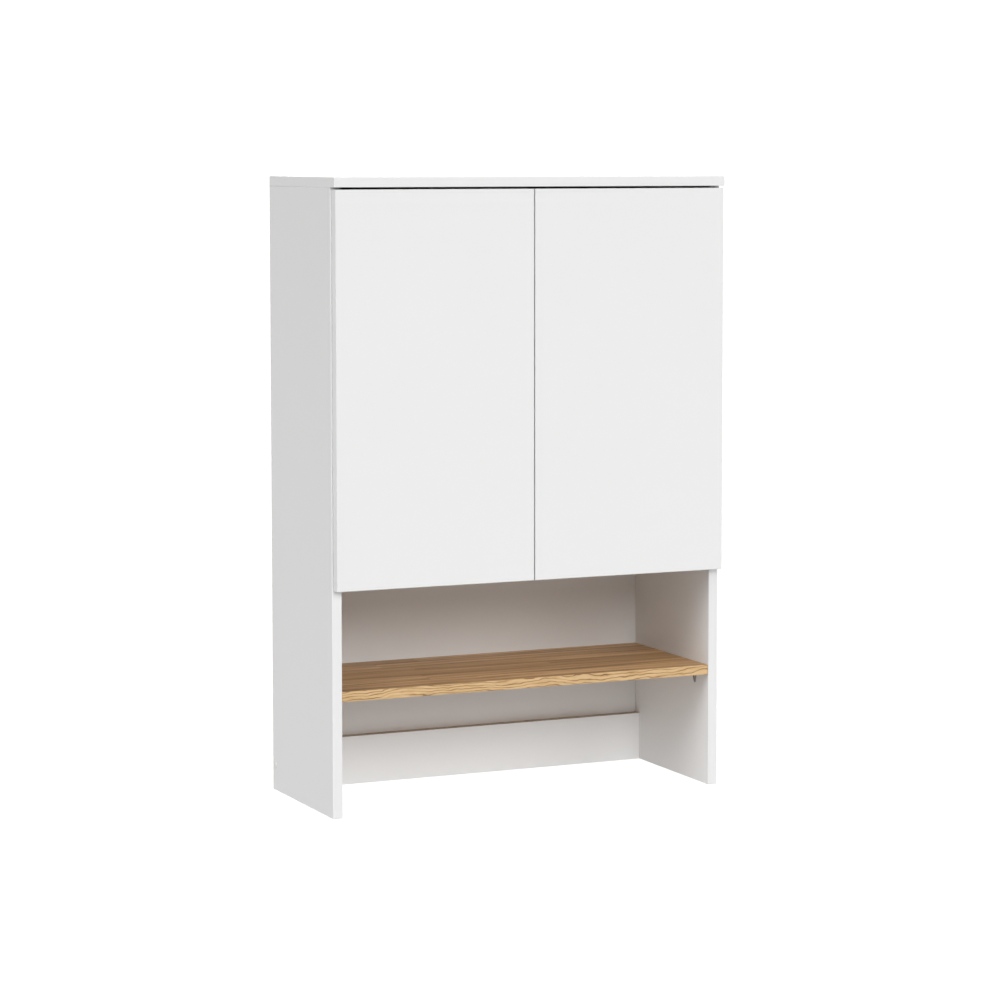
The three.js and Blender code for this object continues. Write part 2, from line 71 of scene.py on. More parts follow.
# %% [markdown]
# A shader is a small network of nodes, and drawing one by hand in code is tedious. One class wraps a
# node's output socket, so that a pattern can be written as a sum, such as `lines * 0.3 + cloud`. Python's
# reflected operators make `1 - mask` work as well. Numbers go through Math nodes. Colours and vectors go
# through Mix and Vector Math nodes, because a Math node would turn them grey.

# %% A socket that can be added, multiplied and compared
def feed(slot, value):
    """Links a socket to a slot, or writes a plain value in it."""
    if isinstance(value, Sock):
        value.tree.links.new(value.socket, slot)
    elif slot.type == "RGBA":
        slot.default_value = (*value, 1.0)
    else:
        slot.default_value = value


class Sock:
    """One output of a shader node. Arithmetic on it adds the nodes that work it out."""

    def __init__(self, tree, socket=None):
        self.tree = tree
        self.socket = socket

    def node(self, kind, settings, inputs, output=0):
        """Adds a node: first its settings, then its inputs by name or number. Gives one output."""
        made = self.tree.nodes.new(kind)
        for name, value in settings.items():
            setattr(made, name, value)
        for name, value in inputs.items():
            feed(made.inputs[name], value)
        return Sock(self.tree, made.outputs[output])

    def math(self, operation, *values):
        return self.node("ShaderNodeMath", {"operation": operation}, dict(enumerate(values)))

    def __add__(self, other):
        return self.math("ADD", self, other)

    def __sub__(self, other):
        return self.math("SUBTRACT", self, other)

    def __rsub__(self, other):
        return self.math("SUBTRACT", other, self)

    def __mul__(self, other):
        return self.math("MULTIPLY", self, other)

    def __truediv__(self, other):
        return self.math("DIVIDE", self, other)

    def __lt__(self, other):
        return self.math("LESS_THAN", self, other)

    def __gt__(self, other):
        return self.math("GREATER_THAN", self, other)

    __radd__ = __add__
    __rmul__ = __mul__


print("a socket can make:", [name for name in vars(Sock) if not name.startswith("__")])

# %% [markdown]
# A few steps come back in every finish: a smooth step between two values, the smaller of two, the three
# parts of a place, one colour turning into another, and noise. Noise that is stretched differently along
# each axis gives grain and fibres, which is simpler than drawing each line.

# %% Steps that every finish uses
def between(value, low, high):
    """0 at low and 1 at high, smooth on the way."""
    limits = {"Value": value, "From Min": low, "From Max": high}
    return value.node("ShaderNodeMapRange", {"interpolation_type": "SMOOTHSTEP"}, limits, "Result")


def least(value, other):
    return value.math("MINIMUM", value, other)


def distance_from(value, other):
    return value.math("ABSOLUTE", value - other)


def parts(value):
    """The x, y and z of a place, or the red, green and blue of a colour."""
    first = value.node("ShaderNodeSeparateXYZ", {}, {0: value})
    return [Sock(value.tree, output) for output in first.socket.node.outputs]


def blend(low, high, share):
    """One colour turning into another as share goes from 0 to 1."""
    colors = {"Factor": share, 6: low, 7: high}
    return share.node("ShaderNodeMix", {"data_type": "RGBA"}, colors, 2)


def stretched(place, factors):
    return place.node("ShaderNodeVectorMath", {"operation": "MULTIPLY"}, {0: place, 1: factors})


def noise(place, scale, detail=3.0, rough=0.5):
    look = {"Vector": place, "Scale": scale, "Detail": detail, "Roughness": rough}
    return place.node("ShaderNodeTexNoise", {}, look, "Fac")


def grain(place, factors, detail, rough=0.5):
    """Noise with its own number of features in a metre along each axis."""
    return noise(stretched(place, factors), 1.0, detail, rough)


def cells(place, scale):
    """A random number for each cell of a pattern of chips or crystals."""
    return parts(place.node("ShaderNodeTexVoronoi", {}, {"Vector": place, "Scale": scale}, "Color"))[0]


print("shader steps ready")

# %% [markdown]
# Each finish is a Principled shader in metres of the cabinet's own space, so a grain keeps its real size
# on every board. A bump node turns a height pattern into relief, with its depth in metres. Real relief in
# the mesh would take millions of faces for a texture a few hundredths of a millimetre deep.

# %% Start and end of a finish
MM = 0.001


def new_finish(name):
    """A material, its shader, and the place on the cabinet as a socket."""
    material = bpy.data.materials.new(name)
    material.use_nodes = True
    tree = material.node_tree
    place = Sock(tree).node("ShaderNodeTexCoord", {}, {}, "Object")
    return material, tree.nodes["Principled BSDF"], place


def set_finish(shader, color, roughness, height, depth):
    relief = {"Height": height, "Distance": depth, "Strength": 1.0}
    feed(shader.inputs["Base Color"], color)
    feed(shader.inputs["Roughness"], roughness)
    feed(shader.inputs["Normal"], height.node("ShaderNodeBump", {}, relief, "Normal"))


print("finishes are drawn in units of", MM, "m")

# %% [markdown]
# A plastic band is glued round a board's edges, and shows as a hairline just inside each edge. The bands
# could be separate strips, but of a strip under a millimetre thick only the joint can be seen. So the
# hairline is worked out from the board's own corners.

# %% The band's hairline
BAND_THICKNESS = 0.8 * MM
SEAM_WIDTH = 0.12 * MM
FACE_SKIN = 0.1 * MM


def inside(part, low, high):
    """How far a place lies from the nearer end of one axis."""
    return least(part - low, high - part)


def seam_mask(place, low, high):
    """1 on the hairline between a board's face and the bands round its edges."""
    sizes = [b - a for a, b in zip(low, high)]
    thin = sizes.index(min(sizes))
    depths = [inside(*axis) for axis in zip(parts(place), low, high)]
    on_face = depths.pop(thin) < FACE_SKIN
    off_seam = distance_from(least(*depths), BAND_THICKNESS)
    return (1 - between(off_seam, SEAM_WIDTH / 2, SEAM_WIDTH)) * on_face


print("hairline of", SEAM_WIDTH / MM, "mm")

# %% [markdown]
# White melamine board is never perfectly flat: the press plate leaves a fine pearl texture, which is a
# fine noise here. Each board has its own copy of the finish, because its hairline follows its own corners.
# The rear rail's upper edge has no band and shows raw chipboard, pale and dark chips pressed together. A
# cell pattern gives each chip its own shade and height.

# %% White laminated board
WHITE = (0.845, 0.845, 0.843)
WHITE_SHADED = tuple(part * 0.985 for part in WHITE)
SEAM_COLOR = (0.50, 0.495, 0.485)
PEARL_SCALE = 1400.0
PRESS_DEPTH = 0.03 * MM
CHIP_DARK = (0.36, 0.30, 0.245)
CHIP_PALE = (0.56, 0.49, 0.41)
CHIP_SCALE = 420.0
CHIP_FLATNESS = (1, 1, 1.6)
RAW_DEPTH = 0.3 * MM
SIDES = ("left", "right")


def white_board(node, raw_top=False):
    low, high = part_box(node)
    material, shader, place = new_finish(f"white board, {node.replace('_', ' ')}")
    seam = seam_mask(place, low, high)
    tint = blend(WHITE, WHITE_SHADED, noise(place, 6.0, 2.0))
    color = blend(tint, SEAM_COLOR, seam * 0.55)
    rough = 0.44 + noise(place, 60.0) * 0.08
    height = noise(place, PEARL_SCALE, 2.0) - seam * 0.8
    if raw_top:
        chips = cells(stretched(place, CHIP_FLATNESS), CHIP_SCALE)
        on_top = parts(place)[2] > high[2] - RAW_DEPTH
        color = blend(color, blend(CHIP_DARK, CHIP_PALE, chips), on_top)
        rough = rough + on_top * 0.35
        height = height * (1 - on_top) + chips * on_top * 4
    set_finish(shader, color, rough, height, PRESS_DEPTH)
    return material


WHITE_NODES = ["top_panel", "side_left", "side_right", "cabinet_floor", "rear_rail", "inner_shelf"]
WHITE_NODES += [f"{side}_door" for side in SIDES]
finishes = {node: white_board(node, raw_top=node == "rear_rail") for node in WHITE_NODES}
print(len(finishes), "white boards")

# %% [markdown]
# The oak shelf is a printed decor, not solid wood: long staves run along the shelf, each with its own
# tone, dark glue lines between them, stretched grain and short dark pores. The print is worked out from
# the place on the board. Its depth gives the stave, and a random number for each stave moves the grain
# along, so that no two staves match.

# %% Oak print of the faces
OAK_DARK = (0.22, 0.105, 0.038)
OAK_MIDDLE = (0.48, 0.268, 0.112)
OAK_PALE = (0.74, 0.455, 0.215)
STAVE_WIDTH = 44 * MM
STAVE_LENGTH = 0.62


def chance(seed):
    """A random number from 0 to 1 for each value of the seed, the same every time."""
    return seed.node("ShaderNodeTexWhiteNoise", {"noise_dimensions": "1D"}, {"W": seed}, "Value")


def moved(place, x, y, z):
    shift = place.node("ShaderNodeCombineXYZ", {}, {"X": x, "Y": y, "Z": z})
    return place.node("ShaderNodeVectorMath", {"operation": "ADD"}, {0: place, 1: shift})


def rounded_down(value):
    return value.math("FLOOR", value)


def waves(phase):
    """Lines that swell and fade, from 0 to 1."""
    return phase.math("SINE", phase) * 0.5 + 0.5


def oak_face(place):
    """Colour and grain height of the print on the shelf's faces."""
    x, y, _ = parts(place)
    across = y / STAVE_WIDTH + 0.35 + grain(place, (3, 1, 1), 2.0) * 0.5
    row = rounded_down(across)
    stave = rounded_down((x + chance(row) * 0.9) / STAVE_LENGTH)
    tone = chance(row * 3.71 + stave * 6.53)
    local = moved(place, tone * 3.0, row * 0.37, tone)
    streak = grain(local, (3.2, 95, 60), 4.0, 0.6)
    fine = grain(local, (26, 1500, 700), 2.0)
    rings = waves(y * 210 + grain(local, (2.2, 10, 10), 3.0) * 16 + streak * 1.2)
    pores = between(grain(local, (80, 2300, 900), 1.0), 0.60, 0.72)
    off_middle = distance_from(across.math("FRACT", across), 0.5)
    comes_and_goes = between(grain(local, (5, 20, 1), 2.0), 0.35, 0.6)
    shadow_band = between(off_middle, 0.30, 0.49) * comes_and_goes
    glue_line = between(off_middle, 0.475, 0.5)
    depth_of_tone = between(streak, 0.34, 0.66) * 0.55 + rings * 0.22 + tone * 0.45
    color = blend(OAK_PALE, OAK_MIDDLE, between(depth_of_tone, 0.15, 0.72))
    dark = between(streak, 0.55, 0.70) * 0.8 + shadow_band * 0.6 + pores * 0.3 + glue_line * 0.4
    color = blend(color, OAK_DARK, least(dark, 0.9))
    color = blend(color, OAK_DARK, between(fine, 0.55, 0.8) * 0.2)
    return color, 1 - (pores * 0.6 + streak * 0.25 + glue_line * 0.5)


print("staves of", STAVE_WIDTH / MM, "mm")

# %% [markdown]
# The shelf's front edge has a band with a print of its own, paler, with the wavy lines of flower grain.
# Straight bands bent by a slow noise give those waves, and a second noise lets each line come and go.

# %% Oak print of the front edge
EDGE_DARK = (0.20, 0.090, 0.030)
EDGE_MIDDLE = (0.56, 0.345, 0.150)
EDGE_PALE = (0.76, 0.525, 0.275)


def oak_edge(place):
    """Colour and grain height of the wavy print on the front edge band."""
    z = parts(place)[2]
    bend = grain(place, (11, 1, 30), 3.0)
    slow = grain(place, (3, 1, 6), 1.0)
    rings = waves(z * 1150 + bend * 40 + slow * 18)
    strength = between(grain(place, (14, 1, 60), 2.0), 0.30, 0.55)
    line = between(rings, 0.86, 1.0) * strength
    fibre = grain(place, (60, 1, 1400), 4.0, 0.7)
    mottle = grain(place, (24, 1, 130), 3.0, 0.6)
    middle = least(rings * 0.45 + between(mottle, 0.3, 0.7) * 0.55, 1.0)
    dark = line + between(mottle, 0.62, 0.8) * 0.2 + between(fibre, 0.52, 0.72) * 0.25
    color = blend(blend(EDGE_PALE, EDGE_MIDDLE, middle), EDGE_DARK, least(dark, 0.9))
    return color, 1 - line * 0.5


print("edge band from", EDGE_PALE, "to", EDGE_DARK)

# %% [markdown]
# Both prints share one finish, because the shelf is one board. The place on it tells which print a point
# is in: the band is the skin at the very front.

# %% Oak board
EDGE_SKIN = 0.45 * MM
GRAIN_DEPTH = 0.06 * MM


def oak_board(node):
    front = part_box(node)[0].y
    material, shader, place = new_finish("craft oak decor")
    face_color, face_height = oak_face(place)
    edge_color, edge_height = oak_edge(place)
    on_edge = parts(place)[1] < front + EDGE_SKIN
    color = blend(face_color, edge_color, on_edge)
    height = face_height * (1 - on_edge) + edge_height * on_edge
    set_finish(shader, color, 0.50 - on_edge * 0.04, height, GRAIN_DEPTH)
    return material


finishes["oak_shelf"] = oak_board("oak_shelf")
print("oak decor on oak_shelf")

# %% [markdown]
# The back is thin hardboard, lacquered white towards the room and left brown towards the wall. The brown
# side is matted fibre: a fine noise with a few longer, paler fibres in it. One finish covers both sides,
# because the place on the board tells which side a point is on.

# %% Hardboard back
FIBRE_DARK = (0.20, 0.112, 0.055)
FIBRE_PALE = (0.47, 0.315, 0.185)
FIBRE_DEPTH = 0.05 * MM
LACQUER_SKIN = 0.4 * MM


def hardboard(node):
    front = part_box(node)[0].y
    material, shader, place = new_finish("hardboard, white in front")
    fibre = grain(place, (170, 40, 110), 5.0, 0.75)
    long_fibre = between(grain(place, (900, 40, 90), 2.0), 0.58, 0.75)
    speck = noise(place, 700.0)
    patch = noise(place, 9.0)
    shade = fibre * 0.5 + speck * 0.25 + patch * 0.12 + long_fibre * 0.25
    brown = blend(FIBRE_DARK, FIBRE_PALE, between(shade, 0.23, 0.70))
    rear = parts(place)[1] > front + LACQUER_SKIN
    height = fibre * rear + speck * 0.3
    set_finish(shader, blend(WHITE, brown, rear), 0.42 + rear * 0.38, height, FIBRE_DEPTH)
    return material


finishes["back_board"] = hardboard("back_board")
print("hardboard on back_board")

# %% [markdown]
# The fittings are nickel-plated pressed steel, zinc with a faint crystalline pattern, white moulded
# plastic and clear soft rubber. Metals take their colour from Base Color with Metallic at 1, and a slow
# noise in the roughness stands for handling and plating. The model's record says which piece is which.

# %% Metals and plastics
CRYSTAL_SCALE = 700.0
PLATING_DEPTH = 0.01 * MM
MOULD_DEPTH = 0.03 * MM


def plated(name, color, dull, rough, spangle=0.0):
    material, shader, place = new_finish(name)
    facet = cells(place, CRYSTAL_SCALE) * spangle
    haze = noise(place, 160.0)
    tint = blend(color, dull, haze * 0.6 + facet)
    height = noise(place, 3000.0, 2.0)
    set_finish(shader, tint, rough + haze * 0.12 + facet * 0.1, height, PLATING_DEPTH)
    shader.inputs["Metallic"].default_value = 1.0
    return material


def moulded(name, color, rough):
    material, shader, place = new_finish(name)
    haze = noise(place, 90.0)
    tint = blend(color, tuple(part * 0.94 for part in color), haze)
    set_finish(shader, tint, rough + haze * 0.1, noise(place, 1100.0), MOULD_DEPTH)
    return material


NICKEL = plated("nickel plate", (0.72, 0.69, 0.64), (0.55, 0.52, 0.48), 0.20)
# Painted dark reflection: the shelf supports are nickel, drawn in this darker copy of it so that they look
# as dark as plated metal reflecting the dim niche.
NICKEL_PAINTED_DARK = plated("nickel with painted dark reflection", (0.42, 0.40, 0.38), (0.34, 0.33, 0.31), 0.12)
ZINC = plated("zinc plate", (0.66, 0.66, 0.67), (0.48, 0.49, 0.50), 0.34, 0.5)
SLOT_FINISHES = {
    "nickel": NICKEL,
    "zinc": ZINC,
    "white_plastic": moulded("white plastic", (0.80, 0.80, 0.78), 0.38),
    "soft_bumper": moulded("clear soft rubber", (0.62, 0.62, 0.60), 0.30),
}
slots = {row["node"]: row["material_slot"] for row in frame["record"]["subparts"]}
for node, slot in slots.items():
    if slot in SLOT_FINISHES:
        finishes[node] = SLOT_FINISHES[slot]
print(len(finishes), "pieces have a finish")

# %% [markdown]
# A machined edge always catches a thin highlight, so every board and fitting gets a bevel a few tenths of
# a millimetre wide. The model's triangles come unjoined, so a weld joins them first and a planar dissolve
# clears the lines across flat faces, and then the bevel only meets true edges. Modifiers leave the piece's
# own mesh as it was. The fittings' bevels are clamped, because some of their walls are thin.

# %% Put the finishes on and break the edges
EDGE_BREAK = {"white_board": 0.7 * MM, "oak_board": 0.5 * MM, "hardboard": 0.15 * MM}
FITTING_BREAK = 0.12 * MM
WELD_REACH = 0.001 * MM
FLAT_WITHIN = math.radians(0.5)
TRUE_EDGE = math.radians(40)
BEVEL_STEPS = 3


def dress(node, material, width):
    piece = frame["nodes"][node]
    piece.data.materials.clear()
    piece.data.materials.append(material)
    weld = piece.modifiers.new("joined triangles", "WELD")
    weld.merge_threshold = WELD_REACH
    flat = piece.modifiers.new("clear flat faces", "DECIMATE")
    flat.decimate_type = "DISSOLVE"
    flat.angle_limit = FLAT_WITHIN
    bevel = piece.modifiers.new("broken edges", "BEVEL")
    bevel.width = width
    bevel.segments = BEVEL_STEPS
    bevel.limit_method = "ANGLE"
    bevel.angle_limit = TRUE_EDGE
    bevel.use_clamp_overlap = width == FITTING_BREAK


for node, material in finishes.items():
    dress(node, material, EDGE_BREAK.get(slots[node], FITTING_BREAK))
print("dressed", len(finishes), "pieces")

# %% [markdown]
# Small hardware holds the boards and hinges: crosshead screws and nails. A screw head is a round plate
# with a cross pressed in it. A flat curve with the cross as a second outline fills to just that shape, and
# its bevel rounds the rim, which is less work than cutting the cross out of a solid.

# %% A crosshead screw and a nail head
SCREW_RADIUS = 3.4 * MM
SCREW_HEIGHT = 1.6 * MM
SMALL_SCREW_RADIUS = 2.6 * MM
SMALL_SCREW_HEIGHT = 1.0 * MM
NAIL_RADIUS = 2.3 * MM
NAIL_HEIGHT = 0.7 * MM


def circle_points(radius, count):
    turns = [math.tau * i / count for i in range(count)]
    return [(radius * math.cos(turn), radius * math.sin(turn)) for turn in turns]


def cross_points(reach, half):
    """A cross of four equal arms, which reach that far from the middle and are twice half wide."""
    points = []
    for quarter in range(4):
        a = -quarter * math.pi / 2
        for x, y in ((half, reach), (half, half), (reach, half)):
            points.append((x * math.cos(a) - y * math.sin(a), x * math.sin(a) + y * math.cos(a)))
    return points


def flat_curve(name, outlines, height, rim):
    """Outlines filled to a plate of that height with a rounded rim."""
    curve = bpy.data.curves.new(name, "CURVE")
    curve.dimensions = "2D"
    curve.fill_mode = "BOTH"
    curve.extrude = height / 2 - rim
    curve.bevel_depth = rim
    curve.bevel_resolution = 2
    for outline in outlines:
        spline = curve.splines.new("POLY")
        spline.points.add(len(outline) - 1)
        spline.use_cyclic_u = True
        for point, (x, y) in zip(spline.points, outline):
            point.co = (x, y, 0, 1)
    holder = bpy.data.objects.new(name, curve)
    mesh = bpy.data.meshes.new_from_object(holder)
    bpy.data.objects.remove(holder)
    return mesh


def screw_head_mesh(radius, height):
    """A head that stands on z = 0 and faces +z, with a floor a quarter of the way up its cross."""
    rim = height * 0.3
    outlines = [circle_points(radius - rim, 28), cross_points(radius * 0.55, radius * 0.13)]
    head = flat_curve("screw head", outlines, height, rim)
    cross_floor = Matrix.Translation((0, 0, height * 0.25))
    bm = bmesh.new()
    bm.from_mesh(head)
    bmesh.ops.translate(bm, vec=(0, 0, height / 2), verts=bm.verts)
    bmesh.ops.create_circle(bm, cap_ends=True, radius=radius * 0.7, segments=20, matrix=cross_floor)
    bm.to_mesh(head)
    bm.free()
    return head


def nail_head_mesh(radius, height):
    rim = height * 0.4
    return flat_curve("nail head", [circle_points(radius - rim, 16)], height, rim)


screw = screw_head_mesh(SCREW_RADIUS, SCREW_HEIGHT)
small_screw = screw_head_mesh(SMALL_SCREW_RADIUS, SMALL_SCREW_HEIGHT)
nail = nail_head_mesh(NAIL_RADIUS, NAIL_HEIGHT)
print("screw head of", len(screw.polygons), "faces")

# %% [markdown]
# Screws of one kind on one body become one piece, because they move together. Each head is turned to
# face its way and then twisted by chance, as a real screw stops wherever it bites.

# %% A finished piece, and many copies of one head as a piece
HEAD_SMOOTH_BELOW = math.radians(35)
TOWARDS = {
    "+x": Matrix.Rotation(math.pi / 2, 4, "Y"),
    "-x": Matrix.Rotation(-math.pi / 2, 4, "Y"),
    "+y": Matrix.Rotation(-math.pi / 2, 4, "X"),
    "-y": Matrix.Rotation(math.pi / 2, 4, "X"),
}
twists = random.Random(4)


def finished_piece(name, bm, material, smooth_below, body):
    mesh = bpy.data.meshes.new(name)
    bm.to_mesh(mesh)
    bm.free()
    for polygon in mesh.polygons:
        polygon.use_smooth = True
    mesh.set_sharp_from_angle(angle=smooth_below)
    mesh.materials.append(material)
    piece = bpy.data.objects.new(name, mesh)
    bpy.context.collection.objects.link(piece)
    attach(piece, body)
    return piece


def gather(name, head, places, body):
    """Zinc copies of one head as one piece. A place is a point, a direction and a twist in degrees."""
    bm = bmesh.new()
    for point, towards, twist in places:
        copy = head.copy()
        turn = TOWARDS[towards] @ Matrix.Rotation(math.radians(twist), 4, "Z")
        copy.transform(Matrix.Translation(point) @ turn)
        bm.from_mesh(copy)
        bpy.data.meshes.remove(copy)
    return finished_piece(name, bm, ZINC, HEAD_SMOOTH_BELOW, body)


print("heads can face", list(TOWARDS))

# %% [markdown]
# The mounting plates are held by two screws each, the cups by two in their flanges, and each arm has two
# adjusting screws in its web. All places come from the fittings' own boxes, so they follow the model if it
# changes.

# %% Screws of the hinges
SINK = 0.05 * MM
PLATE_SCREW_FOOT = 2 * MM
PLATE_SCREW_FORWARD = 3 * MM
PLATE_SCREW_OFFSET = 16 * MM
ARM_SCREWS_FROM_FRONT = (20 * MM, 38 * MM)
CUP_SCREW_FROM_EDGE = 5 * MM
CUP_SCREW_OFFSET = 22.5 * MM
ENDS = (-1, 1)
INWARD = {"left": 1, "right": -1}
FACING = {"left": "+x", "right": "-x"}


def centre_of(node):
    low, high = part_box(node)
    return (low + high) / 2


def outer_x(side, node):
    """Where a piece ends towards its own side of the cabinet."""
    low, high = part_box(node)
    return low.x if side == "left" else high.x


def inner_x(side, node):
    """Where a piece ends towards the middle of the cabinet."""
    low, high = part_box(node)
    return high.x if side == "left" else low.x


def any_twist():
    return twists.uniform(0, 90)


def plate_screws(side, node):
    centre = centre_of(node)
    x = outer_x(side, node) + INWARD[side] * PLATE_SCREW_FOOT
    y = centre.y - PLATE_SCREW_FORWARD
    heights = [centre.z + end * PLATE_SCREW_OFFSET for end in ENDS]
    return [(Vector((x, y, z)), FACING[side], any_twist()) for z in heights]


def arm_screws(side, node):
    x = inner_x(side, node) - INWARD[side] * SINK
    z = centre_of(node).z
    depths = [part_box(node)[0].y + depth for depth in ARM_SCREWS_FROM_FRONT]
    return [(Vector((x, y, z)), FACING[side], any_twist()) for y in depths]


def cup_screws(side, node):
    x = inner_x(side, node) - INWARD[side] * CUP_SCREW_FROM_EDGE
    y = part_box(node)[1].y - SINK
    heights = [centre_of(node).z + end * CUP_SCREW_OFFSET for end in ENDS]
    return [(Vector((x, y, z)), "+y", any_twist()) for z in heights]


def hinge_screws(side):
    on_root = []
    on_door = []
    for level in ("upper", "lower"):
        on_root += plate_screws(side, f"{side}_{level}_hinge_mounting_plate")
        on_root += arm_screws(side, f"{side}_{level}_hinge_arm")
        on_door += cup_screws(side, f"{side}_{level}_hinge_cup")
    gather(f"{side}_hinge_screws", screw, on_root, "root")
    gather(f"{side}_cup_screws", small_screw, on_door, f"{side}_door")
    return len(on_root) + len(on_door)


print(sum(hinge_screws(side) for side in SIDES), "hinge screws")

# %% [markdown]
# The hangers hold the whole weight, so each housing has two screws into the side board. They face the
# front, where a screwdriver reaches them through the open door.

# %% Screws of the hangers
HANGER_SCREW_OFFSET = 10 * MM
HANGER_SCREW_TWIST = 20


def hanger_screws(side):
    node = f"{side}_hanger_housing"
    centre = centre_of(node)
    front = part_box(node)[0].y + SINK
    places = []
    for end in ENDS:
        point = Vector((centre.x, front, centre.z + end * HANGER_SCREW_OFFSET))
        places.append((point, "-y", HANGER_SCREW_TWIST * end))
    gather(f"{side}_hanger_screws", screw, places, "root")
    return len(places)


print(sum(hanger_screws(side) for side in SIDES), "hanger screws")

# %% [markdown]
# The oak shelf rests on four pressed supports. Each is a plate against the side that tapers almost to a
# point, with a ledge on top and a lip folded up along each slanting edge to stiffen it. The plate, the
# ledge and the peg are outlines raised to slabs, and a lip is a skin between a ring at its top and a ring
# at its foot, because it gets lower and closer to the middle on the way down.

# %% Slabs and skins
def join_rings(bm, rings):
    """Closed skin over rings of the same number of points, with a face on each end."""
    made = [[bm.verts.new(point) for point in ring] for ring in rings]
    count = len(made[0])
    for near, far in zip(made, made[1:]):
        for i in range(count):
            after = (i + 1) % count
            bm.faces.new((near[i], near[after], far[after], far[i]))
    bm.faces.new(list(reversed(made[0])))
    bm.faces.new(made[-1])


def slab(bm, outline, low, high, place):
    """An outline raised from low to high; place turns two numbers and a height into a point."""
    join_rings(bm, [[place(a, b, level) for a, b in outline] for level in (low, high)])


def tongue(half_width, length, radius, foot_half):
    """A tongue from 0 down to its length, with rounded corners at a foot that may be narrower."""
    points = [(half_width, 0), (-half_width, 0)]
    for side, start in ((-1, 180), (1, 270)):
        for step in range(5):
            a = math.radians(start + step * 22.5)
            across = side * (foot_half - radius) + radius * math.cos(a)
            points.append((across, radius - length + radius * math.sin(a)))
    return points


print("a tongue has", len(tongue(2, 2, 1, 2)), "corners")

# %% [markdown]
# Each support takes the place of its plain model and keeps within its size: the height, the width and the
# reach of the ledge come from that model's box, so the shelf still rests where it did. The sizes below are
# in millimetres. The lips lie in shade under the shelf, and the supports' nickel is painted darker, a
# painted dark reflection, so from the front a support reads as a narrow dark V.

# %% Shelf supports with folded lips
GAUGE = 1.2
LIP_GAUGE = 0.9
LIP_RISE_TOP = 2.4
LIP_RISE_FOOT = 1.3
LIP_FOOT_UP = 0.8
FOOT_HALF = 1.6
FOOT_ROUND = 1.4
LEDGE_ROUND = 2.0
PEG_RADIUS = 2.5
PEG_DOWN = 6
PEG_OVERLAP = 0.2
SUPPORT_SMOOTH_BELOW = math.radians(38)


def lip_ring(edge, wide, rise, up):
    """The four corners of a lip at a height where half the plate is that wide."""
    outer = edge * wide
    inner = edge * (wide - LIP_GAUGE)
    return [(0, outer, up), (rise, outer, up), (rise, inner, up), (0, inner, up)]


def shelf_support(side, end):
    node = f"{side}_{end}_shelf_support"
    low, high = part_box(node)
    middle_y = centre_of(node).y
    face_x = inner_x(side, f"side_{side}")
    reach = abs(inner_x(side, node) - face_x) / MM
    peg_length = abs(outer_x(side, node) - face_x) / MM
    drop = (high.z - low.z) / MM
    half = (high.y - low.y) / 2 / MM

    def point(out, along, up):
        """A point from millimetres out of the side's face, along it, and up from the ledge."""
        return Vector((face_x + INWARD[side] * out * MM, middle_y + along * MM, high.z + up * MM))

    def against_side(a, b, level):
        return point(level, a, b)

    def out_from_side(a, b, level):
        return point(-b, a, level)

    bm = bmesh.new()
    slab(bm, tongue(half, drop, FOOT_ROUND, FOOT_HALF), 0, GAUGE, against_side)
    slab(bm, tongue(half, reach, LEDGE_ROUND, half), -GAUGE, 0, out_from_side)
    for edge in ENDS:
        top = lip_ring(edge, half, LIP_RISE_TOP, -GAUGE / 2)
        foot = lip_ring(edge, FOOT_HALF, LIP_RISE_FOOT, LIP_FOOT_UP - drop)
        join_rings(bm, [[point(*corner) for corner in ring] for ring in (top, foot)])
    peg = [(a, b - PEG_DOWN) for a, b in circle_points(PEG_RADIUS, 20)]
    slab(bm, peg, -peg_length, PEG_OVERLAP, against_side)
    bmesh.ops.recalc_face_normals(bm, faces=bm.faces)
    name = f"{side}_{end}_lipped_support"
    # The supports' nickel is drawn darker here, a painted dark reflection.
    piece = finished_piece(name, bm, NICKEL_PAINTED_DARK, SUPPORT_SMOOTH_BELOW, "root")
    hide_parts(node)
    return piece


supports = [shelf_support(side, end) for side in SIDES for end in ("front", "rear")]
print(len(supports), "supports of", len(supports[0].data.polygons), "faces")

# %% [markdown]
# The hardboard back is nailed to the edges of the boards it closes. The nails follow the back's outline
# a little in from it, the cabinet's floor and the rail. A hand sets them, so each is slightly off its
# mark. They are drawn as flat heads that stand only a hair out of the board.

# %% Nails of the back
NAIL_SPACING = 105 * MM
NAIL_INSET = 7 * MM
TOP_ROW_DOWN = 8 * MM
RAIL_ROW_UP = 40 * MM
END_NAILS_IN = 12 * MM
NAIL_SUNK = 0.33 * MM
OFF_ACROSS = 1
OFF_UP = 1.5


def evenly(start, stop):
    count = round((stop - start) / NAIL_SPACING)
    return [start + (stop - start) * i / count for i in range(count + 1)]


def off_mark(x, y, z):
    across = twists.uniform(-OFF_ACROSS, OFF_ACROSS) * MM
    up = twists.uniform(-OFF_UP, OFF_UP) * MM
    return Vector((x + across, y, z + up))


def back_nails():
    low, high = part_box("back_board")
    left = low.x + NAIL_INSET
    right = high.x - NAIL_INSET
    rows = (high.z - TOP_ROW_DOWN, centre_of("cabinet_floor").z, low.z + RAIL_ROW_UP)
    upright = evenly(low.z + END_NAILS_IN, high.z - END_NAILS_IN)
    marks = [(x, z) for z in rows for x in evenly(left, right)[1:-1]]
    marks += [(x, z) for x in (left, right) for z in upright]
    places = [(off_mark(x, high.y - NAIL_SUNK, z), "+y", 0) for x, z in marks]
    gather("back_nails", nail, places, "root")
    return len(places)


print(back_nails(), "nails")

# %% [markdown]
# A white cabinet is lit evenly: a broad light in front, one from the left, a weaker one from the right,
# one overhead and one from behind for the other side. They are distant lights, not panels close by,
# because a distant light is equally strong from the top of a door to its foot.

